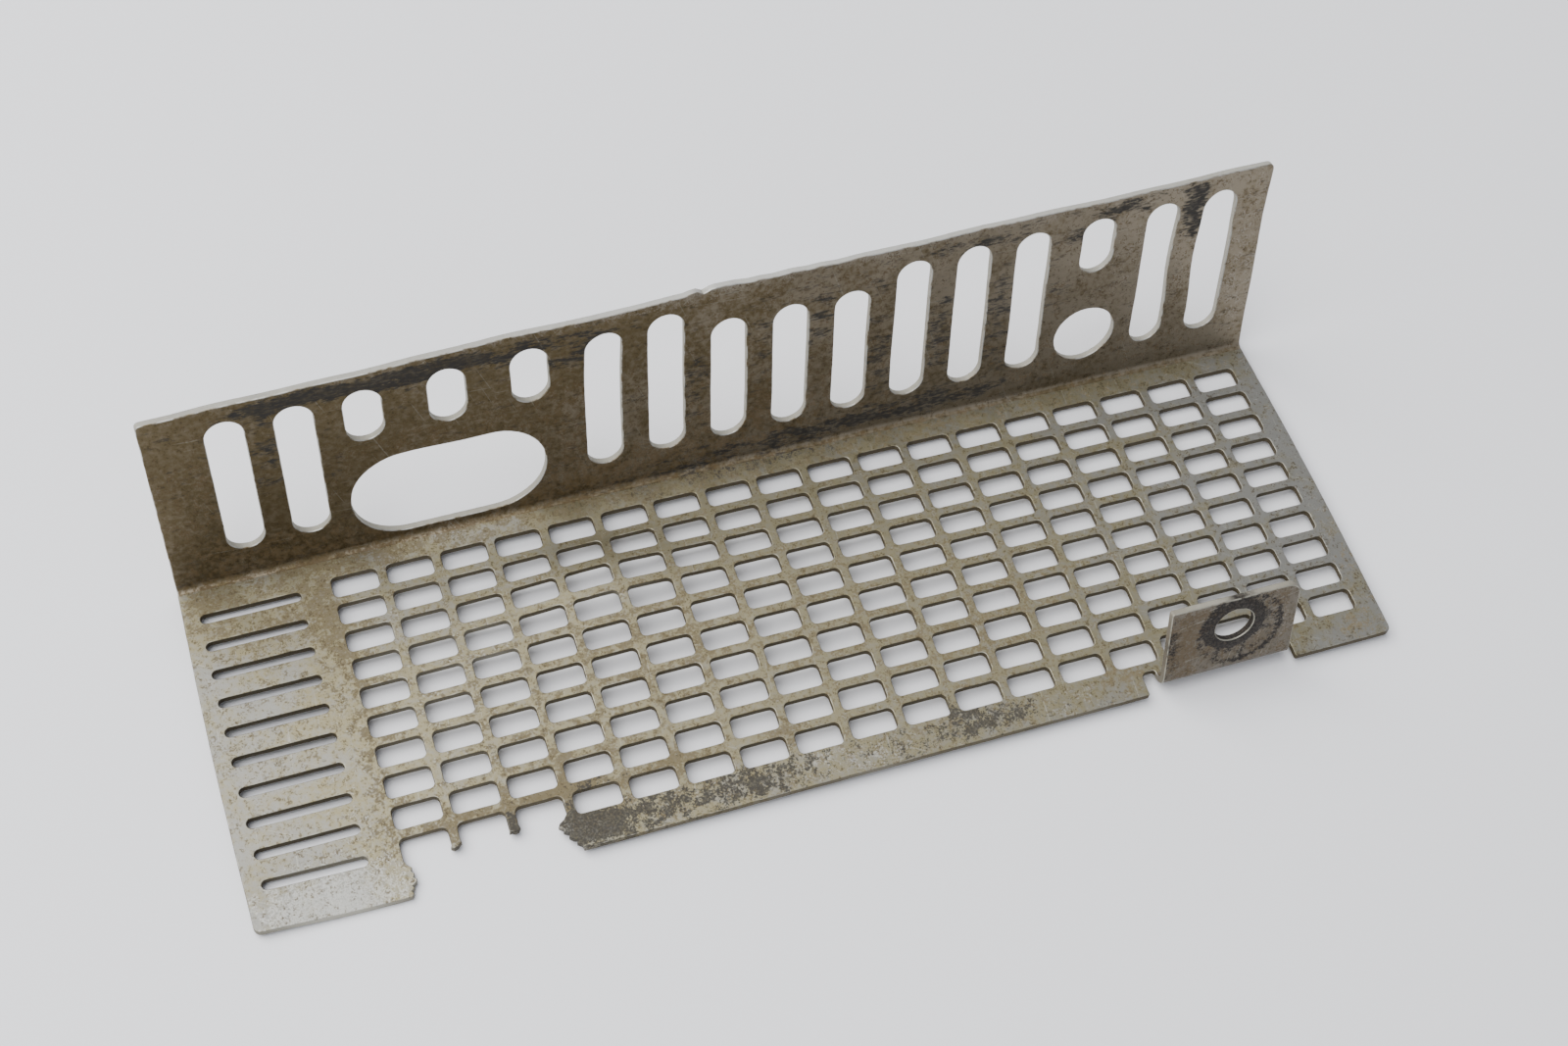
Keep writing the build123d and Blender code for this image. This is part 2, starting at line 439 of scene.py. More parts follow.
flat, _, faces, *_ = delaunay_2d_cdt([Vector(p) for p in points], edges, [], 0, 0.0005)
flat = np.array([v[:] for v in flat])
faces = np.array([f[:3] for f in faces])
centers = flat[faces].mean(axis=1)


def within(places, loop):
    loop = np.array(loop)
    low, high = loop.min(axis=0), loop.max(axis=0)
    near = np.flatnonzero(((places > low) & (places < high)).all(axis=1))
    inside = np.zeros(len(places), bool)
    x, y = places[near].T
    odd = np.zeros(len(near), bool)
    for (ax, ay), (bx, by) in zip(loop, np.roll(loop, -1, axis=0)):
        if ay != by:
            crosses = (ay > y) != (by > y)
            odd ^= crosses & (x < (bx - ax) * (y - ay) / (by - ay) + ax)
    inside[near] = odd
    return inside


solid = within(centers, loops[0])
for loop in loops[1:]:
    solid &= ~within(centers, loop)
faces, centers = faces[solid], centers[solid]
side1 = flat[faces[:, 1]] - flat[faces[:, 0]]
side2 = flat[faces[:, 2]] - flat[faces[:, 0]]
turned = side1[:, 0] * side2[:, 1] - side1[:, 1] * side2[:, 0] < 0
faces[turned] = faces[turned][:, ::-1]
cx, cy = centers.T
pieceNames = ["grille_panel", "flange_bend", "side_flange", "tab_bend", "mounting_tab"]
pieceOf = np.zeros(len(faces), int)
pieceOf[cy > fold] = 1
pieceOf[cy > flangeFoot] = 2
onTab = (cx > tabLeft - 0.2) & (cx < tabRight + 0.2) & (cy < tabFold)
pieceOf[onTab] = 3
pieceOf[onTab & (cy < tabFoot)] = 4
print("flat triangles:", [int((pieceOf == k).sum()) for k in range(5)])

# rim of the whole sheet: edges that only one triangle uses
owner = {}
for number, (a, b, c) in enumerate(faces.tolist()):
    for edge in ((a, b), (b, c), (c, a)):
        owner[edge] = number
outward, rimOut, rimIn = {}, {}, {}
for a, b in owner:
    if (b, a) not in owner:
        run = flat[b] - flat[a]
        outward[a, b] = np.array((run[1], -run[0])) / np.hypot(*run)
        rimOut[a], rimIn[b] = b, a
rimPush, rimNormal = {}, {}
for v in rimOut:
    before, after = outward[rimIn[v], v], outward[v, rimOut[v]]
    lean = float(before @ after)
    push = (before + after) / max(1 + lean, 0.4)
    rimPush[v] = push
    if lean > 0.72:
        middle = before + after
        rimNormal[v] = middle / np.hypot(*middle)


def smooth(t):
    t = np.clip(t, 0, 1)
    return t * t * (3 - 2 * t)


def bump(x, y, cx, cy, rx, ry):
    return np.exp(-((x - cx) / rx) ** 2 - ((y - cy) / ry) ** 2)


def softLimit(t, limit):
    return t / (1 + np.abs(t / limit) ** 6) ** (1 / 6)


def panelLift(x, y):  # how far the bowed, twisted panel stands off the floor
    u = softLimit((x - 13.25) / 108, 1.3)
    v = softLimit((y - front - 41.5) / 35, 1.15)
    middle, across, up, twist, across3, twist3 = grille["bowShape"]
    lift = middle + across * u**2 + up * v**2 + twist * u * v + across3 * u**3 + twist3 * u * u * v
    tiltX, tiltY = grille["tilt"]
    lift = grille["bow"] * (lift - tiltX * x - tiltY * (y - front - 46.6)) + grille["clearOfFloor"]
    return lift - grille["backLeftDrop"] * smooth((-x - 40) / 80) * smooth((y - front - 30) / 50)


dents = [
    # across, up from the front edge, reach across, reach up, along, up the sheet, out of it
    (112.0, 48.0, 50.0, 20.0, 0.0, 0.0, 1.3),
    (88.0, 59.0, 17.0, 8.5, 0.0, 0.3, 1.2),
    (88.0, 71.0, 12.0, 3.5, 0.0, 0.0, -0.4),
    (30.5, 5.0, 9.0, 6.0, 0.0, -0.2, -0.35),
    (0.0, 0.0, 14.0, 12.0, 0.2, 0.7, 1.0),
    (0.0, 45.0, 9.0, 28.0, -0.4, 0.0, 0.0),
    (66.5, 3.0, 4.0, 4.0, 0.0, 0.0, 0.35),
]
flangeDents = [
    (231.0, 29.0, 5.0, 9.0, -1.3, 0.0, 0.5),
    (250.5, 32.0, 5.0, 26.0, -0.9, 0.0, 0.0),
    (217.0, 22.0, 5.0, 9.0, 0.4, 0.0, 0.2),
    (202.0, 40.0, 5.0, 6.0, 0.4, 0.0, -0.2),
    (112.0, 52.0, 10.0, 5.0, 0.0, 0.6, 0.2),
    (140.0, 51.0, 13.0, 4.0, 0.0, 0.55, 0.5),
    (117.5, 50.5, 1.4, 1.8, 0.0, -0.3, -0.5),
    (95.0, 46.0, 7.0, 9.0, 0.7, 0.0, 0.2),
    (124.0, 51.0, 5.0, 3.0, 0.0, 0.3, -0.3),
]


def folded(x, y, w):  # place of the points (x, y) of the unfolded sheet, w above its underside
    x, y, w = (np.array(value, float) for value in (x, y, w))
    thickness, radius = sheet["thickness"], sheet["bendRadius"]
    axis = thickness + radius
    flatX = x - left
    upFlange = y - flangeFoot
    pushed = np.zeros_like(x)
    dx, dy = np.zeros_like(x), np.zeros_like(x)
    for cx, cy, rx, ry, along, up, out in dents:
        strength = bump(flatX, y - front, cx, cy, rx, ry)
        dx, dy, pushed = dx + along * strength, dy + up * strength, pushed + out * strength
    for cx, cy, rx, ry, along, up, out in flangeDents:
        strength = bump(flatX, upFlange, cx, cy, rx, ry)
        dx, dy, pushed = dx + along * strength, dy + up * strength, pushed + out * strength
    onTab = (x > tabLeft - 0.4) & (x < tabRight + 0.4) & (y < tabFold + 0.001)
    dx, dy, pushed = (np.where(onTab, 0, value) for value in (dx, dy, pushed))
    dy = np.where(np.abs(y - fold - arcLength / 2) < arcLength / 2 + 0.01, 0, dy)
    x, y = x + dx, y + dy
    u = x / right
    away = np.hypot(flatX + left - tabX, y - holeY)
    dish = np.where(onTab, -tab["ringDepth"] * (1 - smooth((away - 5.6) / 2.6)), 0)
    ripple = 0.10 * np.sin(x * 0.11 + 1.0) * np.sin(y * 0.13 + 0.4) + 0.05 * np.sin(x * 0.31 + y * 0.23)
    w = w + pushed + np.where(onTab, dish, ripple * smooth((y - flangeFoot) / 6) * 2.0)

    lift = panelLift(x, np.minimum(np.maximum(y, front), fold))
    stretch = 0.3 * smooth((y - fold + 4) / 4)
    place = np.stack([x, y + stretch, w + lift], axis=-1)

    turn = tab["lean"] + 90
    angle = np.radians(turn) * np.clip((tabFold - y) / tabArcLength, 0, 1)
    beyond = np.maximum(tabFoot - y, 0)
    ring = axis - w
    tabPlace = np.stack([
        x,
        tabFold - ring * np.sin(angle) - beyond * np.cos(angle),
        axis - ring * np.cos(angle) + beyond * np.sin(angle) + panelLift(x, tabFold),
    ], axis=-1)
    place = np.where(onTab[..., None], tabPlace, place)

    a, b, c = flange["twist"]
    lean = flange["lean"] + a * u + b * u**2 + c * u**3
    angle = np.radians(90 - lean) * np.clip((y - fold) / arcLength, 0, 1)
    beyond = np.maximum(y - flangeFoot, 0)
    height = beyond / flange["height"]
    allAlong, atLeft = flange["shrink"]
    beyond = beyond * (allAlong - atLeft * smooth((60 - flatX) / 120))
    a, b, c = flange["shear"]
    flangePlace = np.stack([
        x + height * (a + b * u + c * u**2),
        fold + stretch + ring * np.sin(angle) + beyond * np.cos(angle),
        axis - ring * np.cos(angle) + beyond * np.sin(angle) + lift,
    ], axis=-1)
    return np.where((y > fold)[..., None], flangePlace, place)


# colour painted on the sheet, wear and dirt with painted light and shade among it: (across, up, reach
# across, reach up, strength) in millimetres
panelPaint = {
    "filmAndShade": [
        (75, 42, 66, 50, 0.85), (155, 42, 62, 50, 0.75), (30, 40, 6, 40, 0.3), (16, 3, 16, 7, -0.3),
        (12, 72, 18, 12, 0.6), (225, 79, 60, 5, 0.5), (205, 8, 50, 10, 0.35),
        (246, 45, 22, 40, -0.3), (6, 36, 14, 30, -0.25), (62, 12, 36, 8, 0.5),
    ],
    "brown": [
        (31, 60, 4.5, 12, 0.45), (33, 38, 5, 12, 0.4), (31, 20, 4, 8, 0.3), (52, 40, 18, 30, 0.22),
        (84, 38, 20, 24, 0.26), (112, 40, 24, 22, 0.24), (66, 16, 10, 9, 0.4),
        (145, 34, 28, 22, 0.2), (164, 22, 16, 10, 0.25), (178, 34, 22, 14, 0.12),
        (244, 4, 5, 3, 0.5), (249, 20, 2, 10, 0.3), (105, 79, 40, 4, 0.38), (40, 79, 30, 4, 0.5),
        (16, 68, 12, 7, 0.4), (12, 44, 8, 12, 0.14), (170, 78, 30, 4, 0.28), (225, 78, 30, 4, 0.15),
        # (5, 76) below darkens the back-left corner next to the fold: painted shade
        (188, 6, 5, 4, 0.45), (58, 12, 34, 5, 0.3), (27, 70, 6, 8, 0.3), (5, 76, 5, 5, 0.5),
        (40, 12, 7, 4, 0.4), (66, 13.5, 6, 3, 0.35), (90, 13, 7, 3, 0.45), (114, 13, 6, 3, 0.3),
        (236, 40, 26, 34, -0.1), (125, 5, 60, 6, 0.2), (226, 5, 10, 4, 0.2),
    ],
    "black": [
        (70, 4, 9, 6, 0.95), (86, 4, 12, 5.5, 0.55), (106, 4, 11, 4.5, 0.75), (127, 5, 10, 4, 0.3),
        (128, 79, 26, 1.6, 0.38), (158, 4.5, 9, 4, 0.75), (150, 8, 5, 3, 0.5),
        (42.5, 6.8, 1.8, 1.5, 1.0), (54.5, 8.3, 1.8, 3.4, 1.1), (142, 3, 10, 3, 0.4),
        (176, 3, 12, 3, 0.2), (65, 4, 3.5, 4, 0.35), (72, 14, 10, 3, 0.25), (60, 30, 30, 20, 0.05),
    ],
    # lighter spots: scuffed metal, and at the front-left corner (16, 3) painted reflection as well
    "bright": [
        (16, 3, 16, 7, 0.95), (8, 34, 16, 30, -0.12), (100, 6, 7, 3, 0.2), (26, 20, 5, 14, 0.1),
        (118, 6, 6, 3, 0.5), (84, 8, 6, 2.5, 0.3), (64.5, 5.5, 1.3, 1.6, 1.2), (130, 3, 9, 3, 0.5),
        (176, 3, 8, 3, 0.25), (60, 50, 7, 5, 0.3), (90, 52, 7, 3, 0.25), (45, 45, 16, 30, 0.12),
    ],
}
flangePaint = {
    "filmAndShade": [
        # khaki film and painted shade: the flange's left part darkened, its right part left lighter
        (20, 25, 85, 60, 1.0), (4, 42, 8, 12, 0.5), (100, 45, 50, 20, 0.4), (150, 15, 60, 20, 0.2),
    ],
    "brown": [
        (30, 3, 40, 6, 0.4), (95, 4, 30, 7, 0.45), (128, 12, 20, 14, 0.3), (160, 16, 20, 16, 0.15),
        (195, 20, 16, 12, 0.1), (10, 22, 10, 22, 0.25), (88, 25, 10, 20, 0.25),
        (215, 8, 20, 6, 0.1), (235, 22, 10, 16, 0.15), (58, 28, 20, 5, 0.25), (245, 38, 5, 6, 0.15),
        (140, 46, 40, 6, 0.1),
    ],
    "black": [
        (40, 47.0, 26, 1.9, 0.9), (70, 46.0, 24, 1.8, 0.9), (88, 41.0, 10, 1.5, 0.5),
        (92, 44, 8, 3, 0.25), (24, 36, 3, 14, 0.35), (102, 30, 3, 12, 0.12), (37, 25, 3, 10, 0.2),
        (158, 22, 4, 14, 0.5), (172, 24, 4, 12, 0.55), (186, 24, 4, 14, 0.5),
        # the entries from 1.5 to 4 up darken the band along the fold
        (173, 4, 12, 2.5, 0.5), (148, 2.5, 18, 3.0, 0.7), (122, 1.5, 24, 2.4, 0.6),
        (144, 36, 3, 7, 0.55), (199, 31, 2, 6, 0.3), (232, 38, 2.0, 2.8, 1.3),
        (231.5, 42, 1.8, 2.5, 0.9), (231.5, 45.5, 2.2, 3.4, 1.3), (180, 46.8, 12, 1.5, 0.8),
        (214, 47.0, 7, 1.8, 0.9), (150, 43, 12, 2, 0.3), (205, 43, 6, 1.6, 0.8),
        (130, 30, 3, 10, 0.4), (116, 24, 3, 14, 0.35), (178, 2, 20, 2, 0.4),
        (60, 46.5, 12, 0.8, 1.0), (30, 48, 10, 0.7, 1.0), (138, 22, 3, 12, 0.15),
        (9, 34, 6, 14, 0.1),
    ],
    # lighter marks: painted highlight with rubbed metal along the whole top edge (50.6 up), painted
    # highlight at the right end (247, 22), lighter patches elsewhere
    "bright": [
        (125, 51, 34, 1.2, 0.6), (247, 22, 4, 24, 0.45), (70, 50.6, 90, 0.7, 0.55),
        (190, 50.6, 70, 0.7, 0.5), (215, 32, 10, 14, 0.2), (230, 22, 12, 14, 0.2),
        (175, 40, 30, 6, 0.12),
    ],
}
tabPaint = {
    "filmAndShade": [(12, 8, 16, 12, 0.5)],
    "brown": [
        (2.5, 8, 5, 9, 0.6), (8, 17, 7, 3, 0.3), (26, 4, 6, 5, 0.25), (24, 16, 4, 3, 0.5),
        (14, 8, 14, 9, 0.2),
    ],
    "black": [(0.2, 9, 1.0, 8, 0.6)],
    "bright": [
        (27, 8, 2.5, 8, 0.4), (14, 19.3, 14, 0.6, 0.5), (12, 1.0, 12, 2.0, 0.15),
        (22, 9, 2, 5, 0.35),
    ],
}


def paint(kind, x, y):
    total = np.zeros_like(x)
    onTab = (x > tabLeft - 0.4) & (x < tabRight + 0.4) & (y < tabFold + 0.001)
    for where, base, spots, offset in (
        (~onTab & (y <= fold + arcLength / 2), front, panelPaint, left),
        (y > fold + arcLength / 2, flangeFoot, flangePaint, left),
    ):
        for cx, cy, rx, ry, strength in spots[kind]:
            total = total + np.where(where, strength * bump(x - offset, y - base, cx, cy, rx, ry), 0)
    for cx, cy, rx, ry, strength in tabPaint[kind]:
        total = total + np.where(onTab, strength * bump(x - tabLeft, tabFoot - y, cx, cy, rx, ry), 0)
    if kind == "black":
        # the washer's dark ring mark, stronger on one side, and the dark zone inside it round the hole:
        # black residue with painted shade of the dished sheet
        away = np.hypot(x - washerX, y - washerY)
        inner = np.hypot(x - tabX, y - holeY)
        turn = np.arctan2(y - washerY, x - washerX)
        marks = 1.15 * (1 - smooth((inner - 6.4) / 1.9))
        marks = marks + (0.8 + 0.35 * np.cos(turn - 0.7)) * np.exp(
            -((away - tab["washerMark"]) / 0.65) ** 2
        )
        marks = marks + 0.3 * np.exp(-((away - 8.1) / 0.3) ** 2)
        total = total + np.where(onTab, marks, 0)
    return np.clip(total, -1, 1.2)


roundHalf = sheet["edgeRound"] * (1 - math.sqrt(0.5))
levels = [  # (inset from the rim, height, outward part of the normal, upward part)
    (sheet["edgeRound"], sheet["thickness"], 0.0, 1.0),
    (roundHalf, sheet["thickness"] - roundHalf, 0.7071, 0.7071),
    (0.0, sheet["thickness"] - sheet["edgeRound"], 1.0, 0.0),
    (0.0, sheet["edgeRound"], 1.0, 0.0),
    (roundHalf, roundHalf, 0.7071, -0.7071),
    (sheet["edgeRound"], 0.0, 0.0, -1.0),
]


# closed mesh of one piece, bent, with painted wear and painted light and shade, and with normals that
# run on across the folds
def makePiece(number):
    name = pieceNames[number]
    places, lookup, polygons, cornerNormals, cut, edge = [], {}, [], [], [], []

    def vertex(v, level):
        key = (v, level)
        if key not in lookup:
            lookup[key] = len(places)
            inset, height = levels[level][:2]
            x, y = flat[v] - (rimPush[v] * inset if v in rimPush else 0)
            places.append((x, y, height))
        return lookup[key]

    def addFace(cornerList, normals, isCut, isEdge):
        polygons.append([vertex(v, level) for v, level in cornerList])
        cornerNormals.extend(normals)
        cut.append(isCut)
        edge.append(isEdge)

    for a, b, c in faces[pieceOf == number].tolist():
        addFace([(a, 0), (b, 0), (c, 0)], [(0, 0, 1)] * 3, 0, 0)
        addFace([(c, 5), (b, 5), (a, 5)], [(0, 0, -1)] * 3, 0, 0)
        for p, q in ((a, b), (b, c), (c, a)):
            if (p, q) in outward:
                sideNormals = [rimNormal.get(v, outward[p, q]) for v in (p, q)]
                for k in range(5):
                    normals = []
                    for n, level in ((0, k + 1), (1, k + 1), (1, k), (0, k)):
                        out, up = levels[level][2:]
                        normals.append((*(sideNormals[n] * out), up))
                    # edge colour on the outer band of the top rounding, and off the panel on both
                    # roundings: worn edge and painted highlight; the flat wall takes the cut-wall
                    # colour, painted shade on the panel and painted light on the flange
                    bright = k < 1 or k != 2 and number > 0
                    addFace([(p, k + 1), (q, k + 1), (q, k), (p, k)], normals, not bright, bright)
            elif pieceOf[owner[q, p]] != number:
                run = flat[q] - flat[p]
                way = np.array((run[1], -run[0])) / np.hypot(*run)
                ring = [(p, 5), (q, 5)]
                ring += [(q, k) for k in (4, 3, 2, 1)] if q in rimPush else []
                ring += [(q, 0), (p, 0)]
                ring += [(p, k) for k in (1, 2, 3, 4)] if p in rimPush else []
                addFace(ring, [(*way, 0)] * len(ring), 0, 0)

    x, y, w = np.array(places).T
    step = 0.02
    basis = np.stack([
        folded(x + step, y, w) - folded(x - step, y, w),
        folded(x, y + step, w) - folded(x, y - step, w),
        folded(x, y, w + step) - folded(x, y, w - step),
    ], axis=-1) / (2 * step)
    mesh = bpy.data.meshes.new(name + ".shape")
    mesh.from_pydata((folded(x, y, w) * mm).tolist(), [], polygons)
    corners = np.concatenate([np.array(p) for p in polygons])
    flatNormals = np.array(cornerNormals)[..., None]
    turned = np.linalg.solve(basis.transpose(0, 2, 1)[corners], flatNormals)[..., 0]
    turned /= np.linalg.norm(turned, axis=1)[:, None]
    mesh.polygons.foreach_set("use_smooth", [True] * len(polygons))
    mesh.normals_split_custom_set(turned.tolist())
    for label, domain, values in (
        ("cut", "FACE", cut), ("edge", "FACE", edge),
        ("filmAndShade", "POINT", paint("filmAndShade", x, y)),
        ("brown", "POINT", paint("brown", x, y)),
        ("black", "POINT", paint("black", x, y)),
        ("bright", "POINT", paint("bright", x, y)),
    ):
        mesh.attributes.new(label, "FLOAT", domain).data.foreach_set("value", np.array(values, float))
    layer = mesh.uv_layers.new(name="sheet")
    layer.data.foreach_set("uv", (np.stack([x, y], axis=1)[corners] * 0.01).ravel())
    piece = bpy.data.objects.new(name + "_worn_and_shaded", mesh)
    bpy.context.scene.collection.objects.link(piece)
    print(name, "polygons:", len(polygons), "triangles:", sum(len(p) - 2 for p in polygons))
    return piece


def shaderGroup(name, inputs, outputs):
    group = bpy.data.node_groups.new(name, "ShaderNodeTree")
    for label, kind, value in inputs:
        socket = group.interface.new_socket(name=label, in_out="INPUT", socket_type=kind)
        if value is not None:
            socket.default_value = value
    for label, kind in outputs:
        group.interface.new_socket(name=label, in_out="OUTPUT", socket_type=kind)
    return group, group.nodes.new("NodeGroupInput").outputs, group.nodes.new("NodeGroupOutput").inputs


def shaderNode(tree, kind, settings=None, **links):  # inputs are linked or set by name
    node = tree.nodes.new(kind)
    for key, value in (settings or {}).items():
        setattr(node, key, value)
    for key, value in links.items():
        socket = node.inputs[key.replace("_", " ")]
        if isinstance(value, bpy.types.NodeSocket):
            tree.links.new(value, socket)
        else:
            socket.default_value = value
    return node


def remap(tree, value, low, high, toLow=0.0, toHigh=1.0):
    node = shaderNode(tree, "ShaderNodeMapRange", {"interpolation_type": "SMOOTHSTEP"})
    for key, given in (("Value", value), ("From Min", low), ("From Max", high),
                       ("To Min", toLow), ("To Max", toHigh)):
        if isinstance(given, bpy.types.NodeSocket):
            tree.links.new(given, node.inputs[key])
        else:
            node.inputs[key].default_value = given
    return node.outputs["Result"]


def mixColor(tree, amount, a, b):
    node = shaderNode(tree, "ShaderNodeMix", {"data_type": "RGBA"})
    for key, value in ((0, amount), (6, a), (7, b)):
        if isinstance(value, bpy.types.NodeSocket):
            tree.links.new(value, node.inputs[key])
        elif key == 0:
            node.inputs[key].default_value = value
        else:
            node.inputs[key].default_value = (*value, 1)
    return node.outputs[2]


vector, number = "NodeSocketVector", "NodeSocketFloat"

# patches that break up, used for dirt and for painted light and shade: the share that it covers,
# painted and overall, against noise with soft edges
dirtAndShading, dirtAndShadingIn, dirtAndShadingOut = shaderGroup(
    "patchyDirtAndShading",
    [("Position", vector, None), ("Paint", number, 0.0), ("Everywhere", number, 0.1),
     ("Size", number, 220.0), ("Fine Size", number, 1500.0), ("Softness", number, 0.1)],
    [("Mask", number)],
)
broad = shaderNode(
    dirtAndShading, "ShaderNodeTexNoise", Vector=dirtAndShadingIn["Position"], Scale=dirtAndShadingIn["Size"], Detail=4.0,
    Roughness=0.62,
)
fine = shaderNode(
    dirtAndShading, "ShaderNodeTexNoise", Vector=dirtAndShadingIn["Position"], Scale=dirtAndShadingIn["Fine Size"], Detail=3.0,
    Roughness=0.6,
)
broadPart = mathNode(dirtAndShading, "MULTIPLY", remap(dirtAndShading, broad.outputs[0], 0.34, 0.66), 0.6)
finePart = mathNode(dirtAndShading, "MULTIPLY", remap(dirtAndShading, fine.outputs[0], 0.34, 0.66), 0.4)
texture = mathNode(dirtAndShading, "ADD", broadPart, finePart)
bare = mathNode(dirtAndShading, "SUBTRACT", 1.0, mathNode(dirtAndShading, "ADD", dirtAndShadingIn["Paint"], dirtAndShadingIn["Everywhere"]))
covered = remap(
    dirtAndShading, texture, mathNode(dirtAndShading, "SUBTRACT", bare, dirtAndShadingIn["Softness"]),
    mathNode(dirtAndShading, "ADD", mathNode(dirtAndShading, "ADD", bare, dirtAndShadingIn["Softness"]), 0.01),
)
thickness = remap(dirtAndShading, fine.outputs[0], 0.3, 0.6, 0.65, 1.0)
dirtAndShading.links.new(mathNode(dirtAndShading, "MULTIPLY", covered, thickness), dirtAndShadingOut["Mask"])

# fine straight scratches in two directions
scratch, scratchIn, scratchOut = shaderGroup(
    "fineScratches",
    [("Sheet", vector, None), ("Density", number, 0.5), ("Angle", number, 0.4)],
    [("Mask", number)],
)
parts = []
for turn, seed in ((0.0, 0.0), (1.15, 7.0)):
    angle = mathNode(scratch, "ADD", scratchIn["Angle"], turn)
    rotated = shaderNode(
        scratch, "ShaderNodeVectorRotate", {"rotation_type": "Z_AXIS"}, Vector=scratchIn["Sheet"],
        Angle=angle,
    )
    stretched = shaderNode(
        scratch, "ShaderNodeMapping", Vector=rotated.outputs[0], Scale=(4.0, 160.0, 1.0),
        Location=(seed, seed, 0.0),
    )
    lines = shaderNode(
        scratch, "ShaderNodeTexNoise", {"noise_dimensions": "2D"}, Vector=stretched.outputs[0],
        Scale=1.0, Detail=2.0,
    )
    limit = mathNode(
        scratch, "SUBTRACT", 0.78, mathNode(scratch, "MULTIPLY", scratchIn["Density"], 0.16),
    )
    parts.append(remap(scratch, lines.outputs[0], limit, mathNode(scratch, "ADD", limit, 0.05)))
scratch.links.new(mathNode(scratch, "MAXIMUM", *parts), scratchOut["Mask"])

# bright cut edges with darker gaps: worn metal and painted highlight
wearAndHighlight, wearAndHighlightIn, wearAndHighlightOut = shaderGroup(
    "edgeWearAndHighlight",
    [("Position", vector, None), ("Edge", number, 0.0), ("Amount", number, 0.6)],
    [("Mask", number)],
)
gaps = shaderNode(wearAndHighlight, "ShaderNodeTexNoise", Vector=wearAndHighlightIn["Position"], Scale=350.0, Detail=3.0)
kept = remap(
    wearAndHighlight, mathNode(wearAndHighlight, "ADD", gaps.outputs[0], mathNode(wearAndHighlight, "MULTIPLY", wearAndHighlightIn["Amount"], 0.4)),
    0.55, 0.8,
)
wearAndHighlight.links.new(mathNode(wearAndHighlight, "MULTIPLY", kept, wearAndHighlightIn["Edge"]), wearAndHighlightOut["Mask"])

# small pits, grain and shallow waves of the handled sheet
relief, reliefIn, reliefOut = shaderGroup(
    "sheetRelief",
    [("Position", vector, None), ("Scratches", number, 0.0), ("Strength", number, 0.3)],
    [("Normal", vector)],
)
grain = shaderNode(relief, "ShaderNodeTexNoise", Vector=reliefIn["Position"], Scale=2600.0, Detail=3.0)
waves = shaderNode(relief, "ShaderNodeTexNoise", Vector=reliefIn["Position"], Scale=170.0, Detail=2.0)
height = mathNode(
    relief, "ADD", mathNode(relief, "MULTIPLY", grain.outputs[0], 0.35),
    mathNode(relief, "MULTIPLY", waves.outputs[0], 1.2),
)
height = mathNode(relief, "SUBTRACT", height, mathNode(relief, "MULTIPLY", reliefIn["Scratches"], 0.12))
raised = shaderNode(
    relief, "ShaderNodeBump", Height=height, Strength=reliefIn["Strength"], Distance=0.0002,
)
relief.links.new(raised.outputs[0], reliefOut["Normal"])


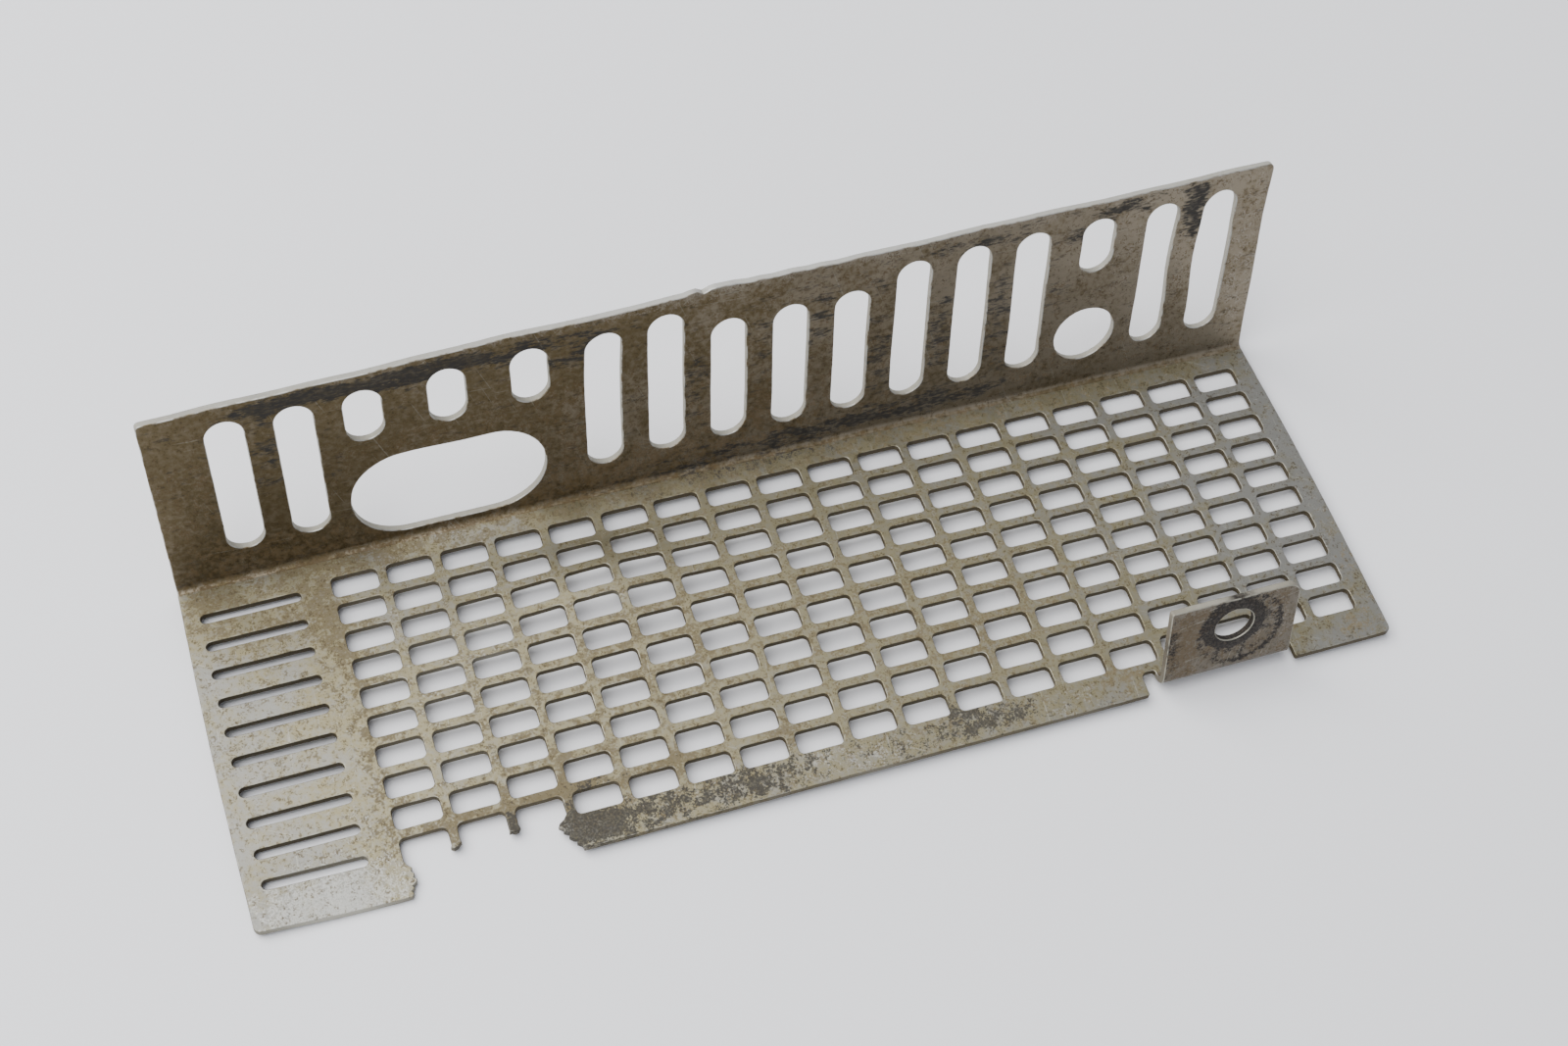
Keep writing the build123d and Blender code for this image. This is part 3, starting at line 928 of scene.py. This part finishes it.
# dull aluminium under a khaki film, with brown and black dirt, scratches and worn edges, and painted
# light and shade: film darkening the flange's left part, light reflection patches, highlighted edges,
# shaded and lit cut walls
def agedAluminium(name, look):
    material = bpy.data.materials.new(name)
    material.use_nodes = True
    tree = material.node_tree
    surface = tree.nodes["Principled BSDF"]
    place = shaderNode(tree, "ShaderNodeTexCoord").outputs["Object"]
    sheetUv = shaderNode(tree, "ShaderNodeUVMap", {"uv_map": "sheet"}).outputs[0]
    attribute = {
        label: shaderNode(tree, "ShaderNodeAttribute", {"attribute_name": label}).outputs["Fac"]
        for label in ("cut", "edge", "filmAndShade", "brown", "black", "bright")
    }

    def group(tree2, **links):
        node = tree.nodes.new("ShaderNodeGroup")
        node.node_tree = tree2
        for key, value in links.items():
            socket = node.inputs[key.replace("_", " ")]
            if isinstance(value, bpy.types.NodeSocket):
                tree.links.new(value, socket)
            else:
                socket.default_value = value
        return node.outputs[0]

    # khaki film, and painted shade on the flange's left part where its film paint is strong
    filmAndShade = group(
        dirtAndShading, Position=place, Paint=attribute["filmAndShade"], Everywhere=look["filmAndShade"], Size=110.0,
        Fine_Size=800.0, Softness=0.6,
    )
    # light patches from the bright paint: scuffed metal and painted reflection
    scuffsAndSheen = group(
        dirtAndShading, Position=place, Paint=attribute["bright"], Everywhere=look["scuffsAndSheen"], Size=520.0,
        Fine_Size=2300.0, Softness=0.25,
    )
    brown = group(
        dirtAndShading, Position=place, Paint=attribute["brown"], Everywhere=look["brown"], Size=520.0,
        Fine_Size=2000.0, Softness=0.16,
    )
    smeared = shaderNode(tree, "ShaderNodeMapping", Vector=place, Scale=look["smear"]).outputs[0]
    black = group(
        dirtAndShading, Position=smeared, Paint=attribute["black"], Everywhere=look["black"], Size=480.0,
        Fine_Size=2100.0, Softness=look["blackSoftness"],
    )
    specks = group(
        dirtAndShading, Position=place, Everywhere=look["specks"], Size=800.0, Fine_Size=2400.0,
        Softness=0.08,
    )
    lines = group(scratch, Sheet=sheetUv, Density=look["scratches"], Angle=look["scratchAngle"])
    wornAndHighlighted = group(wearAndHighlight, Position=place, Edge=attribute["edge"], Amount=look["edgeWearAndHighlight"])

    base = mixColor(tree, filmAndShade, look["metal"], look["filmAndShadeColor"])
    base = mixColor(tree, mathNode(tree, "MULTIPLY", scuffsAndSheen, 0.5), base, look["scuffAndSheenColor"])
    base = mixColor(tree, mathNode(tree, "MULTIPLY", lines, 0.35), base, look["scratchColor"])
    base = mixColor(tree, mathNode(tree, "MULTIPLY", brown, 0.75), base, look["brownColor"])
    base = mixColor(tree, mathNode(tree, "MULTIPLY", specks, 0.7), base, look["speckColor"])
    base = mixColor(tree, mathNode(tree, "MULTIPLY", black, 0.95), base, look["blackColor"])
    # painted light and shade on the cut walls, except under black dirt: a dark colour on the panel's
    # cell walls for their shade, a light one on the flange's slot walls for light on them; bright paint
    # moves it towards the edge colour, rubbed metal with painted highlight
    wallShading = mathNode(tree, "MULTIPLY", attribute["cut"], look["cutWallShadingAmount"])
    wallShading = mathNode(
        tree, "MULTIPLY", wallShading,
        mathNode(tree, "SUBTRACT", 1.0, mathNode(tree, "MINIMUM", attribute["black"], 1.0)),
    )
    rubbedAndLit = mathNode(tree, "MINIMUM", mathNode(tree, "MULTIPLY", attribute["bright"], 1.4), 1.0)
    base = mixColor(tree, wallShading, base, mixColor(tree, rubbedAndLit, look["cutWallShading"], look["edgeColor"]))
    # light edge colour on the edge faces: worn edges and painted highlight
    base = mixColor(tree, mathNode(tree, "MULTIPLY", wornAndHighlighted, 0.85), base, look["edgeColor"])
    tree.links.new(base, surface.inputs["Base Color"])

    dirty = mathNode(tree, "MAXIMUM", mathNode(tree, "MULTIPLY", brown, 0.8), black)
    dirty = mathNode(tree, "MAXIMUM", dirty, mathNode(tree, "MULTIPLY", attribute["cut"], 0.6))
    dirty = mathNode(tree, "MULTIPLY", dirty, mathNode(tree, "SUBTRACT", 1.0, wornAndHighlighted))
    tree.links.new(remap(tree, dirty, 0.0, 1.0, look["metallic"], 0.05), surface.inputs["Metallic"])
    tree.links.new(remap(tree, dirty, 0.0, 1.0, look["roughness"], 0.72), surface.inputs["Roughness"])
    normal = group(relief, Position=place, Scratches=lines, Strength=look["relief"])
    tree.links.new(normal, surface.inputs["Normal"])
    surface.inputs["Specular IOR Level"].default_value = look["shine"]
    return material


# looks to change, one dictionary per material
panelLook = {
    "metal": (0.222, 0.217, 0.195), "filmAndShadeColor": (0.215, 0.19, 0.115),
    "scuffAndSheenColor": (0.46, 0.46, 0.43), "scratchColor": (0.36, 0.35, 0.3),
    "brownColor": (0.115, 0.086, 0.04), "speckColor": (0.07, 0.052, 0.03),
    # dark cut-wall colour: painted shade of the cell walls
    "blackColor": (0.04, 0.036, 0.03), "cutWallShading": (0.06, 0.046, 0.023),
    "edgeColor": (0.4, 0.385, 0.32),
    "filmAndShade": 0.25, "scuffsAndSheen": 0.06, "brown": 0.14, "black": 0.0, "specks": 0.2,
    "scratches": 0.35, "scratchAngle": 0.5, "edgeWearAndHighlight": 0.2, "cutWallShadingAmount": 0.95,
    "metallic": 0.85, "roughness": 0.5, "relief": 0.4, "shine": 0.2,
    "smear": (1.0, 1.0, 1.0), "blackSoftness": 0.15,
}
# the flange's dark film colour gives film and painted shade on its left part
flangeLook = dict(
    panelLook, metal=(0.250, 0.215, 0.160), filmAndShadeColor=(0.130, 0.100, 0.052), scuffAndSheenColor=(
        0.36, 0.33, 0.28,
    ),
    # light cut-wall colour: painted light of the lit slot walls
    brownColor=(0.095, 0.062, 0.025), blackColor=(0.024, 0.023, 0.022), cutWallShading=(0.36, 0.35, 0.30),
    edgeColor=(0.50, 0.50, 0.47), scuffsAndSheen=0.0, brown=0.14, black=0.03, specks=0.16, scratches=0.3,
    scratchAngle=0.05, edgeWearAndHighlight=0.5, cutWallShadingAmount=0.7, filmAndShade=0.15, smear=(0.3, 1.0, 1.0), blackSoftness=0.25,
)
tabLook = dict(
    panelLook, metal=(0.155, 0.138, 0.112), filmAndShadeColor=(0.120, 0.100, 0.072), scuffAndSheenColor=(
        0.30, 0.28, 0.24,
    ),
    brownColor=(0.10, 0.07, 0.035), blackColor=(0.014, 0.012, 0.012), cutWallShading=(0.20, 0.18, 0.14),
    edgeWearAndHighlight=0.6, scratches=0.4, scratchAngle=0.2, filmAndShade=0.3, scuffsAndSheen=0.05, specks=0.15,
    blackSoftness=0.34,
)

slotOf = {
    "grille_panel": "panel_aluminium",
    "flange_bend": "flange_aluminium",
    "side_flange": "flange_aluminium",
    "tab_bend": "tab_aluminium",
    "mounting_tab": "tab_aluminium",
}
materials = {
    "panel_aluminium": agedAluminium("panelAluminium", panelLook),
    "flange_aluminium": agedAluminium("flangeAluminium", flangeLook),
    "tab_aluminium": agedAluminium("tabAluminium", tabLook),
}
print("materials:", ", ".join(materials))
for number, name in enumerate(pieceNames):
    piece = makePiece(number)
    piece.data.materials.append(materials[slotOf[name]])
    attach(piece, "root")
    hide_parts(name)

studio = {
    "floorSize": 4.0, "floorColor": (0.815, 0.815, 0.83), "keyPower": 66.0, "keySize": 1.9,
    "keyPlace": (-0.75, 0.45, 1.5), "fillPower": 7.0, "fillPlace": (-0.9, -1.0, 0.9), "fillSize": 1.0,
    "worldColor": (0.86, 0.90, 1.0), "worldStrength": 0.50,
}
half = studio["floorSize"] / 2
floorMesh = bpy.data.meshes.new("floor")
floorMesh.from_pydata(
    [(-half, -half, 0), (half, -half, 0), (half, half, 0), (-half, half, 0)], [], [(0, 1, 2, 3)],
)
floor = bpy.data.objects.new("floor", floorMesh)
bpy.context.scene.collection.objects.link(floor)
floorMaterial = bpy.data.materials.new("paleFloor")
floorMaterial.use_nodes = True
floorSurface = floorMaterial.node_tree.nodes["Principled BSDF"]
floorSurface.inputs["Base Color"].default_value = (*studio["floorColor"], 1)
floorSurface.inputs["Roughness"].default_value = 0.6
floorMesh.materials.append(floorMaterial)


def addLight(name, place, power, size):
    data = bpy.data.lights.new(name, "AREA")
    data.energy, data.size = power, size
    light = bpy.data.objects.new(name, data)
    bpy.context.scene.collection.objects.link(light)
    light.location = place
    light.rotation_euler = (-Vector(place)).to_track_quat("-Z", "Y").to_euler()
    return light


addLight("keyLight", studio["keyPlace"], studio["keyPower"], studio["keySize"])
addLight("fillLight", studio["fillPlace"], studio["fillPower"], studio["fillSize"])
world = bpy.data.worlds.new("softRoom")
world.use_nodes = True
world.node_tree.nodes["Background"].inputs["Color"].default_value = (*studio["worldColor"], 1)
world.node_tree.nodes["Background"].inputs["Strength"].default_value = studio["worldStrength"]
bpy.context.scene.world = world

view = {"lens": 53.22, "place": (-0.11097, -0.23143, 0.43713), "turn": (31.863, -4.297, -18.251)}
cameraData = bpy.data.cameras.new("camera")
cameraData.lens = view["lens"]
cameraData.sensor_width = 36.0
camera = bpy.data.objects.new("camera", cameraData)
bpy.context.scene.collection.objects.link(camera)
camera.location = view["place"]
camera.rotation_euler = [math.radians(a) for a in view["turn"]]
bpy.context.scene.camera = camera
print("studio and camera ready")
